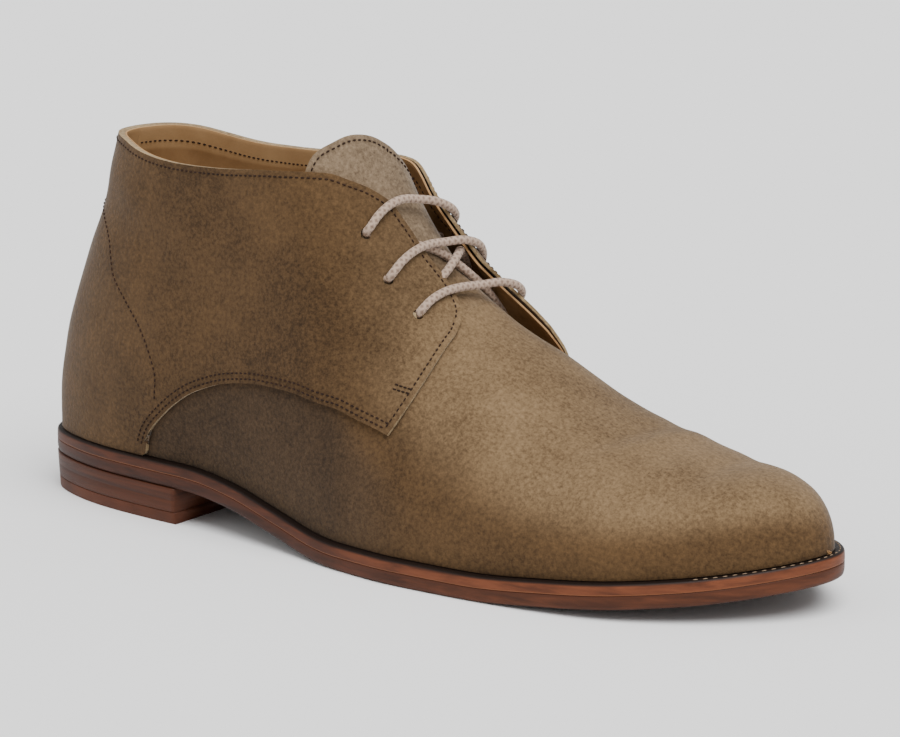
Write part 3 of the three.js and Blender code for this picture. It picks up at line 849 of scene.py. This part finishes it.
give_wall(tongue, thickness=1.3, rounding=0.3)

# %% [markdown]
# ## Quarters
# The two quarters wrap the heel and close over the instep. Each is one patch between its bottom
# edge and seam, the collar and throat, the back seam and the short front under the throat. Its
# throat is loose: it stands off the tongue a little, on the inner side more, which lets a dark
# gap show. It is thin over vamp and tongue and thick elsewhere. The eyelets are plain
# punched holes: one vertex is dissolved into a small face, that face's rim is moved onto a
# circle and the face is deleted, so the thickness of the wall shows in the hole.

# %% Eyelets and the loose front edges
# A place: share of the length and round.
eyelet_rows = {
    -1: [(0.464, -0.322), (0.494, -0.313), (0.530, -0.293)],
    1: [(0.468, 0.37), (0.502, 0.38), (0.540, 0.39)],
}
flap_height = {-1: 0.9, 1: 6.2}
flap_at_collar = {-1: 1, 1: 0.6}
flap_fade = {-1: 0.45, 1: 0.62}
flap_depth = 26
flap_reach = 70

throat_path = {
    side: [last_point(*pattern[side]["flap"].at(k / 10)) for k in range(11)] for side in (-1, 1)
}


@functools.lru_cache(maxsize=None)
def flap_lift(side, turn, round_):
    point = last_point(turn, round_)
    if (point - throat_path[side][5]).length > flap_reach:
        return 0.0
    distance, down = distance_to_path(point, throat_path[side])
    opening = flap_at_collar[side] + (1 - flap_at_collar[side]) * smooth_step(down, 0, 0.3)
    along = opening * (1 - smooth_step(down, flap_fade[side], 1))
    return flap_height[side] * along * (1 - smooth_step(distance, 0, flap_depth))


# 1 over the tongue, 0 beside it, behind it and under the throat.
def over_tongue(turn, round_):
    share = share_of(turn)
    edge = 0.30 + max(0.40 - share, 0) * 4
    inside = 1 - smooth_step(abs(round_), edge + 0.01, edge + 0.07)
    return inside * smooth_step(share, 0.36, 0.39) * (1 - smooth_step(share, 0.553, 0.56))


def punch(bm, turn, round_, lift):
    spot = placed(on_last(turn, round_, lift))
    nearest = min(bm.verts, key=lambda v: (v.co - spot).length_squared)
    place = nearest.link_loops[0][bm.loops.layers.uv["pattern"]].uv.copy()
    centre, normal = nearest.co.copy(), last_normal(turn, round_)
    spokes = [edge.other_vert(nearest) for edge in nearest.link_edges]
    ring = {v for face in nearest.link_faces for v in face.verts} - {nearest}
    bmesh.ops.dissolve_verts(bm, verts=[nearest])
    hole = min(
        (f for f in spokes[0].link_faces if all(v in f.verts for v in ring)),
        key=lambda f: (f.calc_center_median() - centre).length,
    )
    bmesh.ops.subdivide_edges(bm, edges=list(hole.edges), cuts=1, use_grid_fill=False)
    for vertex in hole.verts:
        spoke = vertex.co - centre
        spoke -= normal * spoke.dot(normal)
        out = spoke.normalized() * hole_radius * MM
        vertex.co = centre + out + normal * (vertex.co - centre).dot(normal)
    bmesh.ops.delete(bm, geom=[hole], context="FACES")
    return place


# %% Quarters
def quarter_lift(side, turn, round_):
    return quarter_wall + flap_lift(side, turn, round_)


full_wall = 2.3
wall_over_vamp = 1.4
flap_wall = 1.0


def quarter_thickness(side, turn, round_):
    share = share_of(turn)
    over_vamp = share > wing_start_share and abs(round_) > wing_share(share) - 0.03
    if over_tongue(turn, round_) > 0 or share > 0.54 or flap_lift(side, turn, round_) > 0.3:
        return flap_wall
    return wall_over_vamp if over_vamp else full_wall


quarter_columns = 120
quarter_rows = 72
eyelet_places = {}
for side, name in ((-1, "quarter_outer"), (1, "quarter_inner")):
    bm = laid_grid(quarter_patch[side], quarter_columns, quarter_rows,
                   lambda a, b, *place: quarter_lift(side, *place), side)
    eyelet_places[side] = []
    for share, round_ in eyelet_rows[side]:
        place = punch(bm, turn_of(share), round_, quarter_wall)
        eyelet_places[side].append(quarter_patch[side](*place))
    pattern_uv = bm.loops.layers.uv["pattern"]
    thin = []
    for vertex in bm.verts:
        a, b = vertex.link_loops[0][pattern_uv].uv
        thin.append(quarter_thickness(side, *quarter_patch[side](a, b)) / full_wall)
    quarter = new_piece(name, bm, [upper_suede, cut_edge], ["upper"])
    give_wall(quarter, full_wall, rounding=0.2, thin=thin)

# %% [markdown]
# ## Lining
# Tan calf lines the boot. Behind the loose front edges it lies right under the suede, over the
# tongue, and from the tongue's edge backwards it drops to the inside of the wall.

# %% Lining
lining_thickness = 0.6
wall_inside = 0.85
above_tongue = 0.42
flap_following = 0.85


def lining_lift(side, turn, round_):
    flap = flap_lift(side, turn, round_)
    over = max(over_tongue(turn, round_), smooth_step(flap, 0.2, 0.9))
    return -wall_inside + over * (wall_inside + above_tongue) + flap_following * flap


def new_lining(name, bm):
    lining = new_piece(name, bm, [lining_leather, lining_leather], ["upper"])
    give_wall(lining, lining_thickness, rounding=0.15)


for side, name in ((-1, "lining_outer"), (1, "lining_inner")):
    bm = laid_grid(quarter_patch[side], quarter_columns, quarter_rows,
                   lambda a, b, *place: lining_lift(side, *place), side)
    for turn, round_ in eyelet_places[side]:
        punch(bm, turn, round_, 0)
    new_lining(name, bm)


def front_lining_patch(a, b):
    return foot_turn + (1 - foot_turn) * a, -1 + 2 * b


new_lining("lining_vamp", laid_grid(front_lining_patch, 56, 48, lambda a, b, t, r: -wall_inside))

# %% [markdown]
# ## Sole
# Each layer of the sole is one closed tube of sections: the grid's long way runs from heel to
# toe and its short way goes round the layer, up the outer edge, over the top, down the inner
# edge and back along the underside. A row of the edge says how far it is trimmed in and how high
# it is, so rounded corners and grooves are just rows. At heel and toe the sections close to a
# point, and only the front of the heel is closed by a flat face. The footbed is such a layer too.

# %% Layers of the sole
def close_up(bm, reach):
    bmesh.ops.remove_doubles(bm, verts=bm.verts, dist=reach * MM)
    bmesh.ops.holes_fill(bm, edges=[e for e in bm.edges if e.is_boundary], sides=0)
    bmesh.ops.recalc_face_normals(bm, faces=bm.faces)


def sole_layer(low, high, edge, end_share=1.0, stations=150, across=6):
    count = 2 * (len(edge) + across - 1)
    bm = bmesh.new()
    up_layer = bm.verts.layers.float.new("up")
    bmesh.ops.create_grid(bm, x_segments=stations, y_segments=count, size=0.5)
    end_turn = turn_of(end_share)

    def edge_point(turn, side, row):
        inset, up = row
        point = outline_point(turn, side, inset)
        return Vector((point.x, point.y, low(point.x) + up * (high(point.x) - low(point.x))))

    @functools.lru_cache(maxsize=None)
    def ring(turn):
        outer = [edge_point(turn, -1, row) for row in edge]
        inner = [edge_point(turn, 1, row) for row in reversed(edge)]
        over = [outer[-1].lerp(inner[0], k / across) for k in range(1, across)]
        under = [inner[-1].lerp(outer[0], k / across) for k in range(1, across)]
        return outer + over + inner + under

    for vertex in bm.verts:
        index = round((vertex.co.y + 0.5) * count) % count
        point = ring((vertex.co.x + 0.5) * end_turn)[index]
        vertex[up_layer] = (point.z - low(point.x)) / (high(point.x) - low(point.x))
        vertex.co = placed(point)
    close_up(bm, weld)
    return bm


outsole_edge = [(2.0, 0), (0.9, 0.02), (0.35, 0.1), (0.1, 0.28), (0, 0.5), (0.02, 0.75),
                (0.04, 0.9), (0.1, 0.97), (0.3, 1)]
welt_edge = [(0.3, 0), (0.06, 0.03), (0, 0.10), (0.03, 0.3), (0.06, 0.5), (0.12, 0.72),
             (0.28, 0.86), (0.6, 0.96), (1.2, 1)]
layer_gap = 0.02
new_piece(
    "leather_outsole",
    sole_layer(underside, lambda x: underside(x) + outsole_thickness, outsole_edge),
    [sole_leather], ["outsole"])
new_piece(
    "leather_welt",
    sole_layer(lambda x: underside(x) + outsole_thickness + layer_gap, welt_top, welt_edge),
    [welt_leather], ["welt"])

footbed_inset = welt_margin + vamp_wall + footbed_gap
footbed_edge = [(footbed_inset + trim, up) for trim, up in ((0, 0), (0, 0.5), (0.3, 0.85), (1, 1))]
new_piece(
    "footbed",
    sole_layer(lambda x: welt_top(x) + seat_gap, lambda x: welt_top(x) + seat_gap + footbed_thickness,
               footbed_edge),
    [inner_leather], ["insole"])


def heel_inset(height):
    return heel_taper * (1 - height / heel_height)


def layered_edge(low, high, layers, groove=0.14):
    rows = []
    for layer in range(layers):
        for share, trim in ((0, groove), (0.06, 0), (0.94, 0), (1, groove)):
            up = (layer + share) / layers
            rows.append((heel_inset(low + up * (high - low)) + trim, up))
    return rows


heel_end = heel_length / sole_length
heel_gap = 0.1
stack_low = heel_tip_thickness + heel_gap
new_piece(
    "stacked_heel",
    sole_layer(lambda x: stack_low, lambda x: underside(x) - heel_gap,
               layered_edge(stack_low, heel_height, 2), heel_end, 70),
    [heel_leather], ["heel_stack"])
new_piece(
    "heel_top_piece",
    sole_layer(lambda x: 0, lambda x: heel_tip_thickness,
               layered_edge(0, heel_tip_thickness, 1), heel_end, 70),
    [heel_layer], ["heel_tip"])

# %% [markdown]
# ## Lace
# One round cord of 2.8 mm laces the boot. A bar crosses each pair of eyelets on the outside,
# and behind the lower two bars its strands cross on the way from row to row: one goes from the
# lowest outer eyelet to the middle inner one, the other from the lowest inner eyelet up to the
# top outer one. It is one tube, swept along stops that give a place on the last and a lift. A
# bar bows a little towards the toe, because the cord is stiff where it comes out of a hole.

# %% The way of the lace
# A row: share of the way across, height above the quarters, step towards the toe.
bar_rows = [
    (0.012, -1.3, 0), (0.016, 0.1, 0), (0.04, 1.2, 0.0005), (0.10, 1.5, 0.001), (0.2, 1.5, 0.003),
    (0.31, 1.5, 0.006), (0.42, 1.5, 0.010), (0.54, 1.5, 0.013), (0.66, 1.5, 0.015), (0.76, 1.5, 0.014),
    (0.9, 1.5, 0.006), (0.96, 1.25, 0.002), (0.984, 0.1, 0), (0.988, -1.3, 0),
]
bar_bows = [1.0, 0.8, 1.5]
hidden_lift = 0.05
crossing_stops = {
    "middle inner to lowest outer": [(0.5065, 0.22, 2.6), (0.511, 0.10, 3.6), (0.5165, 0.02, 3.9),
                                     (0.522, -0.05, 2.8), (0.5265, -0.14, 0.2)],
    "lowest inner to top outer": [(0.534, 0.22, 1.6), (0.5265, 0.09, 1.3), (0.5175, 0.025, 1.25),
                                  (0.508, -0.035, 1.25), (0.496, -0.12, 0.4), (0.480, -0.22, 0.05)],
}


def bar_stops(row):
    start, end = eyelet_places[-1][row], eyelet_places[1][row]
    stops = []
    for way, above, forward in bar_rows:
        turn, round_ = start.lerp(end, way)
        turn = turn_of(share_of(turn) + forward * bar_bows[row])
        inner = smooth_step(way, 0.3, 0.65)
        flap = flap_lift(-1, turn, round_) * (1 - inner) + flap_lift(1, turn, round_) * inner
        stops.append((share_of(turn), round_, quarter_wall + flap + above))
    return stops


lace_stops = [
    (0.470, -0.345, hidden_lift), (0.480, -0.34, hidden_lift), (0.489, -0.325, hidden_lift),
    *bar_stops(1),
    *crossing_stops["middle inner to lowest outer"],
    *bar_stops(2),
    *crossing_stops["lowest inner to top outer"],
    *bar_stops(0),
    (0.470, 0.372, hidden_lift), (0.478, 0.376, hidden_lift),
]


# %% A tube along stops
def smooth_path(points, step=1.0):
    ends = [points[0] * 2 - points[1], *points, points[-1] * 2 - points[-2]]
    path = []
    for i in range(1, len(ends) - 2):
        p0, p1, p2, p3 = ends[i - 1:i + 3]
        k1, k2, k3 = ((b - a).length ** 0.5 for a, b in ((p0, p1), (p1, p2), (p2, p3)))
        slope1 = (p1 - p0) / k1 - (p2 - p0) / (k1 + k2) + (p2 - p1) / k2
        slope2 = (p2 - p1) / k2 - (p3 - p1) / (k2 + k3) + (p3 - p2) / k3
        count = max(round((p2 - p1).length / step), 1)
        path.extend(cubic(k / count, p1, p2, slope1 * k2, slope2 * k2) for k in range(count))
    path.append(points[-1])
    return path


def tube(points, diameter, sides=14, plait=2.2):
    frames = []
    across = None
    for i, point in enumerate(points):
        ahead = (points[min(i + 1, len(points) - 1)] - points[max(i - 1, 0)]).normalized()
        across = ahead.orthogonal() if across is None else across - ahead * across.dot(ahead)
        across.normalize()
        frames.append((point, across.copy(), ahead.cross(across)))
    length = sum((b - a).length for a, b in zip(points, points[1:]))
    bm = bmesh.new()
    uv = bm.loops.layers.uv.new("braid")
    bmesh.ops.create_grid(bm, x_segments=len(points) - 1, y_segments=sides, size=0.5, calc_uvs=True)
    for face in bm.faces:
        for loop in face.loops:
            loop[uv].uv.x *= length / plait
    for vertex in bm.verts:
        point, right, up = frames[round((vertex.co.x + 0.5) * (len(points) - 1))]
        turn = 2 * math.pi * (vertex.co.y + 0.5)
        vertex.co = placed(point + (right * math.cos(turn) + up * math.sin(turn)) * diameter / 2)
    close_up(bm, weld / 2)
    return bm, length


lace_path = smooth_path([on_last(turn_of(share), round_, lift) for share, round_, lift in lace_stops])
lace_bm, lace_length = tube(lace_path, lace_diameter)
new_piece("lace", lace_bm, [cord_finish],
          ["lace_bar_top", "lace_bar_middle", "lace_bar_bottom", "lace_crossing"])
print(f"lace: {lace_length:.0f} mm long")

# %% [markdown]
# ## Stitches
# A row of stitches follows an edge at a fixed distance. Each stitch is a small ball stretched
# to a grain of rice, laid along the row and partly sunk into the suede. The rows of one side
# are one mesh. Two rows hold the lower seam of a quarter, one runs along collar, throat and front, one
# holds the heel stiffener and one the band of the lining, and two short rows tack the corner of
# the outer quarter. One more follows the edge of the tongue, and paler, longer stitches show on
# the welt round the toe.

# %% Rows of stitches
stitch_pitch = 2.0
stitch_length = 1.35
stitch_width = 0.6


def slid(place, direction):
    step = 0.002
    turn, round_ = place
    here = last_point(turn, round_)
    by_turn = (last_point(turn + step, round_) - here) / step
    outwards = math.copysign(step, round_)
    by_round = (here - last_point(turn, round_ - outwards)) / outwards
    tt, tr, rr = by_turn.dot(by_turn), by_turn.dot(by_round), by_round.dot(by_round)
    dt, dr = direction.dot(by_turn), direction.dot(by_round)
    size = tt * rr - tr * tr
    return turn + (dt * rr - dr * tr) / size, round_ + (dr * tt - dt * tr) / size


def beside(line, inset, side, start=0.0, end=1.0, step=0.7):
    count = max(round(line.length * abs(end - start) / step), 2)
    places = []
    for k in range(count + 1):
        f = start + (end - start) * k / count
        place = line.at(f)
        before, after = line.at(max(f - 0.004, 0)), line.at(min(f + 0.004, 1))
        along = (last_point(*after) - last_point(*before)).normalized()
        inward = last_normal(*place).cross(along) * side
        places.append(slid(place, inward * inset))
    return places


def stitches(bm, points, pitch=stitch_pitch, size=(stitch_length, stitch_width)):
    row = bmesh.new()
    travelled, due = 0.0, pitch / 2
    for a, b in zip(points, points[1:]):
        step = (b[0] - a[0]).length
        while travelled + step >= due and step > 0:
            f = (due - travelled) / step
            centre = a[0].lerp(b[0], f)
            normal = a[1].lerp(b[1], f).normalized()
            along = (b[0] - a[0]).normalized()
            turned = Matrix((along, normal.cross(along), normal)).transposed().to_4x4()
            turned = turned @ Matrix.Rotation(math.pi / 2, 4, "Y")
            scale = Matrix.Diagonal((size[1] / 2 * MM, size[1] / 2 * MM, size[0] / 2 * MM, 1))
            matrix = Matrix.Translation(placed(centre)) @ turned @ scale
            bmesh.ops.create_uvsphere(row, u_segments=6, v_segments=4, radius=1, matrix=matrix)
            due += pitch
        travelled += step
    joined = new_mesh("row", row)
    bm.from_mesh(joined)
    bpy.data.meshes.remove(joined)


def laid(places, lift):
    points = []
    for turn, round_ in places:
        normal = last_normal(turn, round_)
        point = last_point(turn, round_)
        points.append((point + normal * (lift(turn, round_) + relief(point)), normal))
    return points


def line_of(rows):
    return Line([(turn_of(share), round_) for share, round_ in rows])


thread_lift = 0.1
seam_insets = (1.4, 3.3)
edge_inset = 2.0
band_inset = 5.5
counter_row = [(0.004, 0.69), (0.04, 0.715), (0.075, 0.74), (0.110, 0.786), (0.142, 0.811),
               (0.182, 0.845), (0.202, 0.871), (0.214, 0.901), (0.214, 0.928)]
tack_rows = {-1: [[(0.5385, -0.515), (0.560, -0.490)], [(0.538, -0.53), (0.559, -0.505)]], 1: []}
for side, name in ((-1, "outer"), (1, "inner")):
    lines = pattern[side]
    bm = bmesh.new()
    on_quarter = lambda turn, round_: quarter_lift(side, turn, round_) + thread_lift
    in_lining = lambda turn, round_: lining_lift(side, turn, round_) - lining_thickness
    for inset in seam_insets:
        stitches(bm, laid(beside(lines["seam"], inset, -side, 0.03, 0.985), on_quarter))
    stitches(bm, laid(beside(lines["top"], edge_inset, side, 0.005, 0.995), on_quarter))
    stitches(bm, laid(beside(lines["front"], edge_inset, -side, 0.03, 0.985), on_quarter))
    stitches(bm, laid(beside(line_of([(s, side * r) for s, r in counter_row]), 0, side), on_quarter))
    stitches(bm, laid(beside(lines["top"], band_inset, side, 0.005, 0.75), in_lining))
    for row in tack_rows[side]:
        stitches(bm, laid(beside(line_of(row), 0, side), on_quarter), 1.5)
    new_piece(f"stitches_{name}", bm, [thread_brown])

bm = bmesh.new()
tongue_row = beside(tongue_lines["front"], edge_inset, -1, 0.01, 0.99)
stitches(bm, laid(tongue_row, lambda turn, round_: thread_lift))
new_piece("stitches_tongue", bm, [thread_brown])

welt_start, welt_end, welt_inset = turn_of(0.9), 0.985, 1.5
welt_turns = [welt_start + (welt_end - welt_start) * k / 80 for k in range(81)]
welt_path = [(turn, -1) for turn in welt_turns] + [(turn, 1) for turn in reversed(welt_turns)]
welt_points = []
for turn, side in welt_path:
    spot = outline_point(turn, side, welt_inset)
    welt_points.append((Vector((spot.x, spot.y, welt_top(spot.x) - 0.05)), Vector((0, 0, 1))))
bm = bmesh.new()
stitches(bm, welt_points, 3.0, (1.7, 0.5))
new_piece("stitches_welt", bm, [thread_pale])

# %% [markdown]
# ## Camera, floor and light
# The camera stands where the photo was taken from, 1 m from a point over the forefoot. It is
# turned towards the middle of the boot and has a longer lens, so only the framing differs. A
# wide soft light from above, a little towards the toe, and a weak one from the heel's side
# stand in for the white boxes of a studio. The floor is plain and pale.

# %% Camera
camera_data = bpy.data.cameras.new("camera")
camera_data.sensor_width = 36
camera_data.lens = 128
camera = new_object("camera", camera_data)
azimuth, elevation, camera_distance = math.radians(31.93), math.radians(12.37), 1.0
photo_middle = placed(Vector((234.54, 0, 75.59)))
boot_aim = placed(Vector((185.5, -32.5, 68.1)))
back = Vector((
    math.sin(azimuth) * math.cos(elevation),
    -math.cos(azimuth) * math.cos(elevation),
    math.sin(elevation),
))
camera.location = photo_middle + back * camera_distance
camera.rotation_mode = "QUATERNION"
camera.rotation_quaternion = (boot_aim - camera.location).to_track_quat("-Z", "Y")
bpy.context.scene.camera = camera
print("camera to the middle of the boot in mm:", round((boot_aim - camera.location).length / MM))

# %% Floor and light
floor_bm = bmesh.new()
bmesh.ops.create_grid(floor_bm, x_segments=1, y_segments=1, size=6)
floor_finish = Finish("pale floor", Roughness=0.9, Specular_IOR_Level=0.1)
floor_finish.feed(floor_finish.shader.inputs["Base Color"], floor_finish.mix(
    floor_finish.noise(floor_finish.place(), 3, 2), (0.91, 0.91, 0.91, 1), (0.94, 0.94, 0.94, 1)))
new_object("floor", new_mesh("floor", floor_bm, [floor_finish.material]))

world = bpy.data.worlds.new("studio")
world.use_nodes = True
background = world.node_tree.nodes["Background"].inputs
background["Color"].default_value = (1, 1, 1, 1)
background["Strength"].default_value = 0.6
bpy.context.scene.world = world


def soft_light(name, direction, softness, strength):
    data = bpy.data.lights.new(name, "SUN")
    data.angle, data.energy = math.radians(softness), strength
    light = new_object(name, data)
    light.rotation_mode = "QUATERNION"
    light.rotation_quaternion = Vector(direction).to_track_quat("Z", "Y")


soft_light("key", (0.45, -0.25, 1.0), 50, 4.0)
soft_light("fill", (-0.8, -1.0, 0.7), 60, 0.5)
